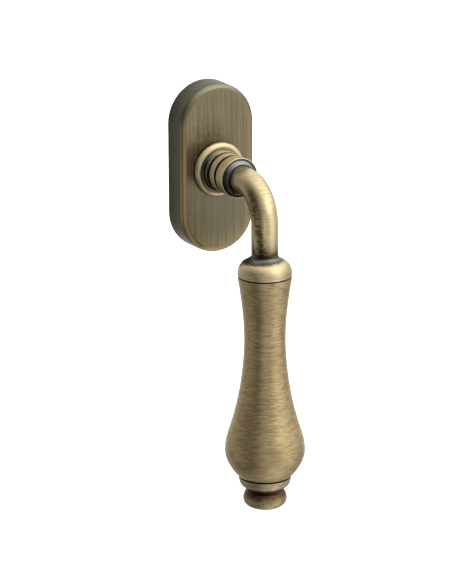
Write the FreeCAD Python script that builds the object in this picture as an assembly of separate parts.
import FreeCAD, Part
import math
import os

# Window handle for a tilt-and-turn sash: an obround rosette with a concealed
# four-position detent, a turned neck, a gooseneck arm and a baluster grip.
# Millimetres. +Z is up, +Y points into the sash, -Y towards the room.
# The origin is where the spindle axis meets the mounting face (y = 0).
# "Front" is the room side (-Y), "rear" is the sash side (+Y).

Vector = FreeCAD.Vector
os.makedirs("parts", exist_ok=True)

# ---------------------------------------------------------------- dimensions
SIDES = (-1, 1)
OVER = 1.0              # overshoot of a cutter past the face it opens
SPAN = 40.0             # half size of a cutter that reaches past the whole plate

# rosette cover
COVER_W = 33.6
COVER_H = 70.0
COVER_T = 11.5          # depth from the mounting face
COVER_EDGE_R = 2.25     # rounded front edge
COVER_DRAFT = 0.2       # inward draft of the side wall over the depth
COVER_WALL = 1.5
COVER_HOLE_R = 8.1
SNAP_R = 0.6            # snap ribs inside the long sides
SNAP_HALF_L = 2.5
SNAP_Y = -3.5
SNAPS = [(side * 15.44, z) for side in SIDES for z in (-12.0, 12.0)]    # x, z

# base plate
PLATE_W = 30.0
PLATE_H = 66.4
PLATE_T = 7.5
SCREW_PITCH = 43.0      # fixing screw centres, vertical
SCREW_HOLE_R = 2.65
COUNTERSINK_R = 4.8     # at the plate's front
LUG_R = 5.0             # locating lugs around the fixing screws
LUG_L = 3.0             # lug projection into the sash
BOSS_R = 12.0
BOSS_TOP = 9.9          # boss front, distance from the mounting face
RIB_HALF_W = 1.5
BORE_R = 8.02
SEAT_R = 9.25           # seat of the bush flange
RIM = 1.9               # rim left round the cored ends
CORE_D = 3.6
CORE_RIB_HALF_W = 0.75

# detent pocket and its lid; depths are from the mounting face
POCKET_HALF_W = 8.5
POCKET_HALF_H = 13.0
POCKET_FLOOR = 4.5
LID_SEAT = 1.0          # the lid rests at this depth
LID_HALF_W = 13.0
LID_HALF_H = 15.2
LID_T = 0.8
LID_CORNER_R = 2.0
LID_CLR = 0.1
LID_REAR = LID_T - LID_SEAT
LID_SCREWS = [(x, z) for x in (-10.9, 10.9) for z in (-11.0, 11.0)]

# springs, cam, spindle
SPRING_T = 0.5
SPRING_B = 3.0
SPRING_L = 28.0
SPRING_GAP = 0.02       # between spring and cam flat
CAM_AF = 12.0           # across flats
CAM_R = 7.75
CAM_FRONT = -4.4
CAM_REAR = -1.1
CAM_PIN_Y = (CAM_FRONT + CAM_REAR) / 2
CAM_PIN_R = 1.0
SPINDLE_AF = 7.0
SPINDLE_HOLE_AF = 7.05
SPINDLE_FRONT = -27.2
SPINDLE_REAR = 22.5

# neck, arm
JOURNAL_R = 7.0
RUN_CLR = 0.05          # radial running clearance of the journal
FLANGE_D = 11.8         # rear face of the neck flange, distance from the wall
BAR_R = 5.35            # arm bar radius
BEND_R = 14.7           # arm bend, centreline radius
GRIP_Y = -49.2          # grip axis
BAR_END = -32.0         # lower end of the arm inside the ferrule
FLAT_X = 4.3            # half width over the two flats on the arm's end
FLAT_TOP = -28.4
SET_SCREW_Y = -25.5
SET_SCREW_R = 2.0

# grip stack, heights along the grip axis
FERRULE_TOP = -27.0
FERRULE_BOTTOM = -35.2
BODY_BOTTOM = -119.0
RING_BOTTOM = -123.9
WASHER_BOTTOM = -125.3
FINIAL_BOTTOM = -132.85
SOCKET_CLR = 0.04       # ferrule socket round the arm's end
ROD_R = 3.0
ROD_HOLE_R = 3.03
ROD_HOLE_TOP = -18.0
ROD_PASS_R = 3.2        # clearance hole for the rod in the ferrules
BODY_BORE_R = ROD_R + 0.3
DOWEL_R = 0.8
DOWEL_HOLE_R = 0.82
DOWEL_L = 5.8
DOWEL_Y = GRIP_Y + 8.2


# ------------------------------------------------------------------- helpers
def profile_face(start, segments, place):
    """Face inside a closed profile; place(radius, position) gives a point in space.

    A segment is (kind, points), from the last point reached:
    "line" through the points, "arc" by (middle, end), "spline" through the points.
    """
    edges = []
    here = start
    for kind, points in segments + [("line", [start])]:
        stops = [place(*point) for point in [here] + points]
        if kind == "line":
            edges += [Part.LineSegment(a, b).toShape() for a, b in zip(stops, stops[1:])]
        elif kind == "arc":
            edges.append(Part.Arc(*stops).toShape())
        else:
            curve = Part.BSplineCurve()
            curve.interpolate(stops)
            edges.append(curve.toShape())
        here = points[-1]
    return Part.Face(Part.Wire(edges))


def revolved(face, base, axis, angle=360):
    solid = face.revolve(base, axis, angle).Solids[0]
    if solid.Volume < 0:
        solid.reverse()
    return solid


def turned_y(start, segments, z=0.0):
    """Turned about a Y axis. Points are (radius, distance in front of the mounting face)."""
    face = profile_face(start, segments, lambda radius, dist: Vector(radius, -dist, z))
    return revolved(face, Vector(0, 0, z), Vector(0, 1, 0))


def turned_z(start, segments):
    """Turned about the grip axis. Points are (radius, height)."""
    face = profile_face(start, segments, lambda radius, height: Vector(radius, GRIP_Y, height))
    return revolved(face, Vector(0, GRIP_Y, 0), Vector(0, 0, 1))


def obround_wire(half_w, half_h, y):
    z = half_h - half_w
    return Part.Wire([
        Part.LineSegment(Vector(half_w, y, -z), Vector(half_w, y, z)).toShape(),
        Part.Arc(Vector(half_w, y, z), Vector(0, y, half_h), Vector(-half_w, y, z)).toShape(),
        Part.LineSegment(Vector(-half_w, y, z), Vector(-half_w, y, -z)).toShape(),
        Part.Arc(Vector(-half_w, y, -z), Vector(0, y, -half_h), Vector(half_w, y, -z)).toShape(),
    ])


def obround(half_w, half_h, y0, y1):
    return Part.Face(obround_wire(half_w, half_h, y0)).extrude(Vector(0, y1 - y0, 0))


def drafted_obround(half_w, half_h, depth, edge_r):
    """Obround block in front of y = 0, narrowing forwards, with a rounded front edge."""
    draft = COVER_DRAFT * depth / COVER_T
    block = Part.makeLoft([obround_wire(half_w, half_h, 0),
                           obround_wire(half_w - draft, half_h - draft, -depth)], True, True)
    return fillet_at(block, edge_r, at_y(-depth))


def box(x0, x1, y0, y1, z0, z1):
    """Box between two corners; each pair may come in either order."""
    return Part.makeBox(abs(x1 - x0), abs(y1 - y0), abs(z1 - z0),
                        Vector(min(x0, x1), min(y0, y1), min(z0, z1)))


def cyl_y(radius, y0, y1, x=0.0, z=0.0):
    return Part.makeCylinder(radius, y1 - y0, Vector(x, y0, z), Vector(0, 1, 0))


def cyl_z(radius, z0, z1, x=0.0, y=GRIP_Y):
    return Part.makeCylinder(radius, z1 - z0, Vector(x, y, z0), Vector(0, 0, 1))


def cone_y(radius0, radius1, length, x, y, z):
    return Part.makeCone(radius0, radius1, length, Vector(x, y, z), Vector(0, 1, 0))


def fillet_at(shape, radius, test):
    return shape.makeFillet(radius, [edge for edge in shape.Edges if test(edge)])


def chamfer_at(shape, size, test):
    return shape.makeChamfer(size, [edge for edge in shape.Edges if test(edge)])


def at_y(y):
    """Edge test: lies in the plane at y."""
    return lambda edge: (all(abs(v.Point.y - y) < 1e-4 for v in edge.Vertexes)
                         and abs(edge.CenterOfMass.y - y) < 1e-4)


def along_y(edge):
    run = edge.Vertexes[-1].Point - edge.Vertexes[0].Point
    return abs(run.x) < 1e-6 and abs(run.z) < 1e-6


def level(edge):
    return edge.BoundBox.ZLength < 1e-3


def chamfered_pin(radius, z0, z1, size, y=GRIP_Y):
    """Upright pin with both ends chamfered."""
    return chamfer_at(cyl_z(radius, z0, z1, 0, y), size, level)


def cut_cross(shape, half_l, half_w, y0, y1, x, z):
    """Cut a cross recess, open along Y, centred on x, z."""
    for half_x, half_z in ((half_l, half_w), (half_w, half_l)):
        shape = shape.cut(box(x - half_x, x + half_x, y0, y1, z - half_z, z + half_z))
    return shape


def cam_pin_hole():
    return cyl_z(CAM_PIN_R + 0.02, -9, 9, 0, CAM_PIN_Y)


def dowel_hole(z0, z1):
    return cyl_z(DOWEL_HOLE_R, z0, z1, 0, DOWEL_Y)


def save(name, shape):
    solids = shape.Solids
    for solid in solids:
        if not solid.isValid() or solid.Volume <= 0:
            raise ValueError("bad solid in " + name)
    shape = Part.makeCompound(solids) if len(solids) > 1 else solids[0]
    shape.exportStep("parts/" + name + ".step")


# ------------------------------------------------------------------- rosette
def rosette_cover():
    half_w, half_h = COVER_W / 2, COVER_H / 2
    inner_t = COVER_T - COVER_WALL
    outer = drafted_obround(half_w, half_h, COVER_T, COVER_EDGE_R)
    inner = drafted_obround(half_w - COVER_WALL, half_h - COVER_WALL, inner_t,
                            COVER_EDGE_R - COVER_WALL)
    shell = outer.cut(inner)
    shell = shell.cut(cyl_y(COVER_HOLE_R, -COVER_T - OVER, -inner_t + OVER))
    # snap ribs, trimmed to stay inside the wall
    for x, z in SNAPS:
        rib = cyl_z(SNAP_R, z - SNAP_HALF_L, z + SNAP_HALF_L, x, SNAP_Y)
        shell = shell.fuse(rib.common(box(-16.0, 16.0, -5, -2, -20, 20)))
    return shell.removeSplitter()


def base_plate():
    half_w, half_h = PLATE_W / 2, PLATE_H / 2
    plate = chamfer_at(obround(half_w, half_h, -PLATE_T, 0), 0.6, at_y(-PLATE_T))
    boss = cyl_y(BOSS_R, -BOSS_TOP, -PLATE_T + OVER)
    plate = plate.fuse(chamfer_at(boss, 0.4, at_y(-BOSS_TOP)))
    # two ribs carrying the boss load towards the screws
    for side in SIDES:
        plate = plate.fuse(box(-RIB_HALF_W, RIB_HALF_W, -BOSS_TOP + 0.6, -PLATE_T + OVER,
                               side * 10.0, side * 16.3))
    # bore for the bush and its flange seat
    plate = plate.cut(cyl_y(BORE_R, -BOSS_TOP - OVER, -1))
    plate = plate.cut(cyl_y(SEAT_R, -BOSS_TOP - OVER, -9.0))
    # detent pocket with spring-end slots, and the lid recess
    pocket = box(-POCKET_HALF_W, POCKET_HALF_W, -POCKET_FLOOR, OVER,
                 -POCKET_HALF_H, POCKET_HALF_H)
    plate = plate.cut(fillet_at(pocket, 1.2, along_y))
    slot_end = SPRING_L / 2 + 0.3
    for side in SIDES:
        plate = plate.cut(box(side * 5.95, side * 6.65, -POCKET_FLOOR, OVER,
                              -slot_end, slot_end))
    recess_w, recess_h = LID_HALF_W + LID_CLR, LID_HALF_H + LID_CLR
    recess = box(-recess_w, recess_w, -LID_SEAT, OVER, -recess_h, recess_h)
    plate = plate.cut(fillet_at(recess, LID_CORNER_R + LID_CLR, along_y))
    for x, z in LID_SCREWS:
        plate = plate.cut(cyl_y(1.02, -5.4, OVER, x, z))
    # cored ends: a rim, a boss round each screw and cross ribs stay
    for side in SIDES:
        screw_z = side * SCREW_PITCH / 2
        core = obround(half_w - RIM, half_h - RIM, -CORE_D, OVER).common(
            box(-SPAN, SPAN, -4, OVER, side * 17.4, side * SPAN))
        core = core.cut(cyl_y(5.8, -5, 2, 0, screw_z))
        core = core.cut(box(-SPAN, SPAN, -5, 2,
                            screw_z - CORE_RIB_HALF_W, screw_z + CORE_RIB_HALF_W))
        core = core.cut(box(-CORE_RIB_HALF_W, CORE_RIB_HALF_W, -5, 2, side * 17, side * SPAN))
        plate = plate.cut(core)
        lug = cyl_y(LUG_R, -OVER, LUG_L, 0, screw_z)
        plate = plate.fuse(chamfer_at(lug, 0.4, at_y(LUG_L)))
        plate = plate.cut(cyl_y(SCREW_HOLE_R, -PLATE_T - OVER, LUG_L + OVER, 0, screw_z))
        # 45 degree countersink
        wide_r = COUNTERSINK_R + OVER
        plate = plate.cut(cone_y(wide_r, SCREW_HOLE_R, wide_r - SCREW_HOLE_R,
                                 0, -PLATE_T - OVER, screw_z))
    # grooves for the cover's snap ribs
    for x, z in SNAPS:
        half_l = SNAP_HALF_L + 0.5
        plate = plate.cut(cyl_z(SNAP_R + 0.15, z - half_l, z + half_l, x, SNAP_Y))
    return plate.removeSplitter()


def neck_bush():
    inner, outer, flange = JOURNAL_R + RUN_CLR, 8.0, 9.2
    return turned_y((inner, 4.5), [("line", [
        (outer, 4.5), (outer, 9.0), (flange, 9.0), (flange, 9.8), (flange - 0.15, 9.95),
        (outer, 9.95), (outer, 11.35), (outer - 0.1, 11.45), (inner + 0.15, 11.45),
        (inner, 11.3)])])


def thrust_washer():
    inner, outer, front = 7.2, 10.4, FLANGE_D - 0.02
    return turned_y((inner, COVER_T), [
        ("line", [(outer, COVER_T), (outer, front), (inner, front)])])


# ------------------------------------------------------------ detent pieces
def detent_springs():
    """Two flat leaf springs, one on each side of the cam."""
    springs = []
    front = -POCKET_FLOOR + 0.2
    near_x = CAM_AF / 2 + SPRING_GAP
    for side in SIDES:
        leaf = box(side * near_x, side * (near_x + SPRING_T), front, front + SPRING_B,
                   -SPRING_L / 2, SPRING_L / 2)
        springs.append(fillet_at(
            leaf, 0.6, lambda edge: abs(edge.BoundBox.XLength - SPRING_T) < 1e-3))
    return Part.makeCompound(springs)


def detent_cam():
    half, hole = CAM_AF / 2, SPINDLE_HOLE_AF / 2
    cam = cyl_y(CAM_R, CAM_FRONT, CAM_REAR)
    cam = cam.common(box(-half, half, -5, 0, -half, half))
    cam = cam.cut(box(-hole, hole, -5, 0, -hole, hole))
    return cam.cut(cam_pin_hole())


def cam_pin():
    """Slotted spring pin, open on the +X side."""
    pin = chamfered_pin(CAM_PIN_R, -5.8, 5.8, 0.15, CAM_PIN_Y)
    pin = pin.cut(cyl_z(0.6, -7, 7, 0, CAM_PIN_Y))
    return pin.cut(box(0, 2, CAM_PIN_Y - 0.2, CAM_PIN_Y + 0.2, -7, 7))


def spring_cover_plate():
    plate = box(-LID_HALF_W, LID_HALF_W, -LID_SEAT, LID_REAR, -LID_HALF_H, LID_HALF_H)
    plate = fillet_at(plate, LID_CORNER_R, along_y)
    plate = plate.cut(cyl_y(6.0, -LID_SEAT - OVER, OVER))
    sink_depth = 0.75
    for x, z in LID_SCREWS:
        plate = plate.cut(cyl_y(1.05, -LID_SEAT - OVER, OVER, x, z))
        plate = plate.cut(cone_y(1.0, 1.75, sink_depth, x, LID_REAR - sink_depth, z))
    return plate


def cover_plate_screws():
    """Four countersunk screws, heads at the rear."""
    shank_r, tip = 1.0, LID_REAR - 4.9
    screws = []
    for x, z in LID_SCREWS:
        head = cone_y(shank_r, 1.68, 0.68, x, LID_REAR - 0.72, z)
        shank = cyl_y(shank_r, tip, LID_REAR - 0.7, x, z)
        screw = head.fuse(chamfer_at(shank, 0.3, at_y(tip)))
        screw = cut_cross(screw, 1.15, 0.2, LID_REAR - 0.45, LID_REAR + OVER, x, z)
        screws.append(screw.removeSplitter())
    return Part.makeCompound(screws)


def fixing_screws():
    """Two countersunk M5 machine screws with a waisted shank inside the plate."""
    screws = []
    for side in SIDES:
        z = side * SCREW_PITCH / 2
        screw = turned_y((0, 7.45), [("line", [
            (4.45, 7.45), (4.6, 7.35), (2.24, 4.99), (2.24, -3.4),
            (2.5, -3.66), (2.5, -17.9), (1.9, -18.5), (0, -18.5)])], z)
        screws.append(cut_cross(screw, 2.3, 0.55, -9, -5.4, 0, z))
    return Part.makeCompound(screws)


# ------------------------------------------------------------- neck and arm
def neck_arm():
    bend_y = GRIP_Y + BEND_R
    neck = turned_y((0, 4.4), [
        # journal and flange
        ("line", [(JOURNAL_R - 0.3, 4.4), (JOURNAL_R, 4.7), (JOURNAL_R, FLANGE_D),
                  (10.95, FLANGE_D), (11.2, 12.05)]),
        # base ring, a broad rounded front
        ("line", [(11.2, 12.4)]),
        ("arc", [(10.65, 13.4), (9.4, 13.95)]),
        # hollow recess
        ("line", [(9.2, 14.0)]),
        ("arc", [(8.0, 14.35), (7.4, 15.0)]),
        # thin bead
        ("line", [(7.35, 15.5), (7.8, 15.65)]),
        ("arc", [(8.45, 16.3), (7.8, 16.95)]),
        # first ring
        ("line", [(7.2, 17.1), (7.2, 18.4), (7.85, 18.5), (8.05, 18.7), (8.1, 21.9),
                  (7.95, 22.15), (7.2, 22.3), (7.2, 23.65)]),
        # second ring with its lip
        ("line", [(7.95, 23.8), (8.12, 24.0), (8.25, 28.75), (8.15, 29.05), (7.85, 29.1)]),
        # shallow dish: a groove behind the lip, a raised collar, a narrow groove round the bar
        ("line", [(7.6, 28.75), (7.4, 28.75)]),
        ("arc", [(6.85, 29.7), (6.1, 30.3)]),
        ("line", [(5.95, 30.3), (5.6, 29.85), (BAR_R, 29.85), (BAR_R, -bend_y), (0, -bend_y)])])
    section = Part.Face(Part.Wire(
        Part.makeCircle(BAR_R, Vector(0, bend_y, 0), Vector(0, 1, 0))))
    bend = revolved(section, Vector(0, bend_y, -BEND_R), Vector(1, 0, 0), 90)
    drop = cyl_z(BAR_R, BAR_END, -BEND_R)
    drop = chamfer_at(drop, 0.3, lambda edge: (
        abs(edge.CenterOfMass.z - BAR_END) < 1e-4 and level(edge)))
    arm = neck.fuse([bend, drop])
    for side in SIDES:
        arm = arm.cut(box(side * FLAT_X, side * 7, GRIP_Y - 7, GRIP_Y + 7,
                          BAR_END - OVER, FLAT_TOP))
    arm = arm.removeSplitter()
    hole = SPINDLE_HOLE_AF / 2
    arm = arm.cut(box(-hole, hole, SPINDLE_FRONT - 0.3, 0, -hole, hole))
    # set screw hole from below, tapped hole for the tie rod with a drill point
    arm = arm.cut(cyl_z(SET_SCREW_R + 0.02, -12, -1, 0, SET_SCREW_Y))
    arm = arm.cut(cyl_z(ROD_HOLE_R, BAR_END - OVER, ROD_HOLE_TOP))
    return arm.cut(Part.makeCone(ROD_HOLE_R, 0, 1.75, Vector(0, GRIP_Y, ROD_HOLE_TOP),
                                 Vector(0, 0, 1)))


def spindle():
    half = SPINDLE_AF / 2
    front, rear = at_y(SPINDLE_FRONT), at_y(SPINDLE_REAR)
    bar = box(-half, half, SPINDLE_FRONT, SPINDLE_REAR, -half, half)
    bar = chamfer_at(bar, 0.6, lambda edge: front(edge) or rear(edge))
    bar = fillet_at(bar, 0.3, lambda edge: edge.BoundBox.YLength > 30)
    return bar.cut(cam_pin_hole())


def grub_screw():
    """Set screw just clear of the spindle's underside, hexagon socket below."""
    screw = chamfered_pin(SET_SCREW_R, -7.6, -SPINDLE_AF / 2 - 0.03, 0.35, SET_SCREW_Y)
    key_r, key_z = 1.155, -8    # across-corners radius, start height
    corners = []
    for i in range(6):
        angle = math.radians(60 * i)
        corners.append(Vector(key_r * math.cos(angle),
                              SET_SCREW_Y + key_r * math.sin(angle), key_z))
    hexagon = Part.Face(Part.makePolygon(corners + corners[:1]))
    return screw.cut(hexagon.extrude(Vector(0, 0, 2.4)))


# ------------------------------------------------------------------ the grip
def top_ferrule():
    socket_r, floor = BAR_R + SOCKET_CLR, BAR_END - 0.05
    ferrule = turned_z((socket_r, FERRULE_TOP), [
        ("line", [(5.55, FERRULE_TOP)]),
        # flare from the bar to the shoulder
        ("spline", [(5.75, -27.55), (6.4, -28.1), (7.5, -28.75), (8.85, -29.55), (9.75, -30.5),
                    (10.32, -31.5), (10.68, -32.5), (10.87, -33.4), (10.9, -34.05)]),
        # fine groove, then the spigot that enters the grip body
        ("line", [(10.74, -34.2), (10.9, -34.35), (10.88, -34.85), (10.5, FERRULE_BOTTOM),
                  (6.0, FERRULE_BOTTOM), (6.0, -38.3), (5.8, -38.5), (ROD_PASS_R, -38.5),
                  (ROD_PASS_R, floor), (socket_r, floor)])])
    # the lower part of the socket has two flats that match the arm's end
    outer_r, top = 5.6, FLAT_TOP - 0.05
    for side in SIDES:
        flat = box(side * (FLAT_X + SOCKET_CLR), side * outer_r, GRIP_Y - 3.2, GRIP_Y + 3.2,
                   BAR_END - 0.3, top)
        ferrule = ferrule.fuse(flat.common(cyl_z(outer_r, -33, top)))
    return ferrule.cut(dowel_hole(-35.3, -32.5)).removeSplitter()


def grip_body():
    bore_r = 6.6        # wide lower bore
    body = turned_z((BODY_BORE_R, FERRULE_BOTTOM), [
        ("line", [(10.4, FERRULE_BOTTOM), (10.76, -35.55)]),
        # baluster outline
        ("spline", [
            (10.70, -36.8), (10.43, -38.5), (10.02, -41), (9.56, -44.3), (9.11, -48),
            (8.61, -53), (8.36, -58), (8.32, -63), (8.56, -68), (9.00, -73), (9.60, -78),
            (10.40, -83), (11.40, -88), (12.64, -93), (14.11, -98), (15.34, -102),
            (15.98, -105), (16.15, -107.6), (15.97, -110), (15.32, -112), (14.34, -114),
            (13.09, -116), (11.79, -117.6), (10.80, -118.65)]),
        ("line", [(10.35, BODY_BOTTOM), (bore_r, BODY_BOTTOM), (bore_r, -90.0),
                  (BODY_BORE_R, -88.1)])])
    body = body.cut(cyl_z(6.05, -38.65, -34))
    body = body.cut(dowel_hole(-38.8, -34))
    return body.cut(dowel_hole(-120, -115.3))


def bottom_ferrule():
    ferrule = turned_z((ROD_PASS_R, -113.0), [
        # spigot inside the grip body
        ("line", [(6.35, -113.0), (6.55, -113.2), (6.55, BODY_BOTTOM), (10.35, BODY_BOTTOM),
                  (10.64, -119.3)]),
        ("spline", [(10.56, -120.2), (10.40, -121.0), (10.05, -122.0), (9.45, -122.8),
                    (8.85, -123.2)]),
        # small bead
        ("line", [(7.75, -123.2), (7.75, -123.3)]),
        ("arc", [(8.05, -123.5), (7.75, -123.7)]),
        ("line", [(7.2, RING_BOTTOM), (ROD_PASS_R, RING_BOTTOM)])])
    return ferrule.cut(dowel_hole(-121.5, -118))


def finial_nut():
    return turned_z((ROD_HOLE_R, -130.4), [
        ("line", [(ROD_HOLE_R, WASHER_BOTTOM), (5.8, WASHER_BOTTOM), (5.8, RING_BOTTOM),
                  (7.05, RING_BOTTOM), (7.05, -124.35)]),
        ("spline", [
            (7.4, -124.9), (7.9, -125.45), (8.3, -126.2), (8.6, -127.0), (8.82, -127.9),
            (8.85, -128.8), (8.7, -129.6), (8.38, -130.3), (7.8, -131.0), (6.9, -131.62),
            (5.5, -132.22), (3.3, -132.7), (0, FINIAL_BOTTOM)]),
        ("line", [(0, -131.6)])])


def tie_rod():
    return chamfered_pin(ROD_R, -130.2, -18.6, 0.5)


def lock_washer():
    """Ring split on the +X side."""
    ring = cyl_z(5.6, WASHER_BOTTOM, RING_BOTTOM).cut(cyl_z(3.15, -126, -123))
    return ring.cut(box(0, 8, GRIP_Y - 0.5, GRIP_Y + 0.5, -126, -123))


def dowel_pins():
    return Part.makeCompound([chamfered_pin(DOWEL_R, z, z + DOWEL_L, 0.15, DOWEL_Y)
                              for z in (-38.6, -121.3)])


# Each function's name is the name of its file.
PARTS = [
    rosette_cover, base_plate, neck_bush, thrust_washer, detent_springs, spring_cover_plate,
    cover_plate_screws, fixing_screws, neck_arm, spindle, detent_cam, cam_pin, grub_screw,
    top_ferrule, grip_body, bottom_ferrule, finial_nut, tie_rod, lock_washer, dowel_pins,
]
for build in PARTS:
    save(build.__name__, build())
